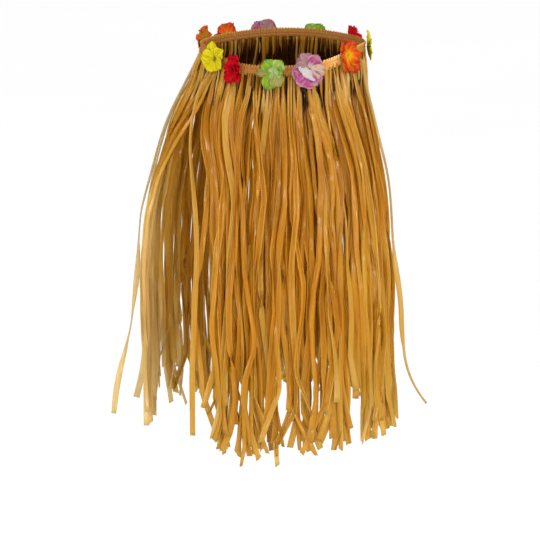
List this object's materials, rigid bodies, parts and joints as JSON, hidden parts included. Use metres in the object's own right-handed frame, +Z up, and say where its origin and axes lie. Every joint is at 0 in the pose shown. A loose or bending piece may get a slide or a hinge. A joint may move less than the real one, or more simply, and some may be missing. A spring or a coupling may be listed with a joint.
{
  "type": "grass skirt",
  "caption": "Hula grass skirt as worn: shirred raffia waistband, long fringe of flat strands parted by a step of the leg, fabric flowers round the waist.",
  "frame": {"origin": "middle of the waist, level with the band's centre line at the sides, where the wearer's hips hold the skirt", "axes": "+Z up, out of the open waist; -Y is the front; +X is the wearer's left"},
  "size_m": [0.6659, 0.3708, 0.8997],
  "materials": {
    "waistband": "shirred flat raffia over elastic, satin",
    "raffia": "thin satin plastic raffia, lets light through",
    "petals_green": "pressed polyester, matt",
    "petals_pink": "pressed polyester, matt",
    "petals_orange": "pressed polyester, matt",
    "petals_red": "pressed polyester, matt",
    "petals_yellow": "pressed polyester, matt",
    "petals_amber": "pressed polyester, matt"
  },
  "bodies": {
    "root": {"waistband": "waistband", "fringe_lock_01": "raffia", "fringe_lock_02": "raffia", "fringe_lock_03": "raffia", "fringe_lock_04": "raffia", "fringe_lock_05": "raffia", "fringe_lock_06": "raffia", "fringe_lock_07": "raffia", "fringe_lock_08": "raffia", "fringe_lock_09": "raffia", "fringe_lock_10": "raffia", "fringe_lock_11": "raffia", "fringe_lock_12": "raffia", "fringe_lock_13": "raffia", "fringe_lock_14": "raffia", "fringe_lock_15": "raffia", "fringe_lock_16": "raffia", "fringe_lock_17": "raffia", "fringe_lock_18": "raffia", "fringe_lock_19": "raffia", "fringe_lock_20": "raffia", "fringe_lock_21": "raffia", "fringe_lock_22": "raffia", "fringe_lock_23": "raffia", "fringe_lock_24": "raffia", "fringe_lock_25": "raffia", "fringe_lock_26": "raffia", "fringe_lock_27": "raffia", "fringe_lock_28": "raffia", "fringe_lock_29": "raffia", "fringe_lock_30": "raffia", "fringe_lock_31": "raffia", "fringe_lock_32": "raffia", "fringe_lock_33": "raffia", "fringe_lock_34": "raffia", "fringe_lock_35": "raffia", "fringe_lock_36": "raffia", "loose_strand_gap": "raffia", "loose_strand_left": "raffia", "loose_strand_left_end": "raffia", "loose_strand_right": "raffia", "flower_green": "petals_green", "flower_pink": "petals_pink", "flower_orange": "petals_orange", "flower_red": "petals_red", "flower_yellow": "petals_yellow", "flower_amber": "petals_amber", "flower_side_yellow": "petals_yellow", "flower_back_red": "petals_red", "flower_back_green": "petals_green", "flower_back_pink": "petals_pink", "flower_back_orange": "petals_orange"}
  },
  "joints": []
}
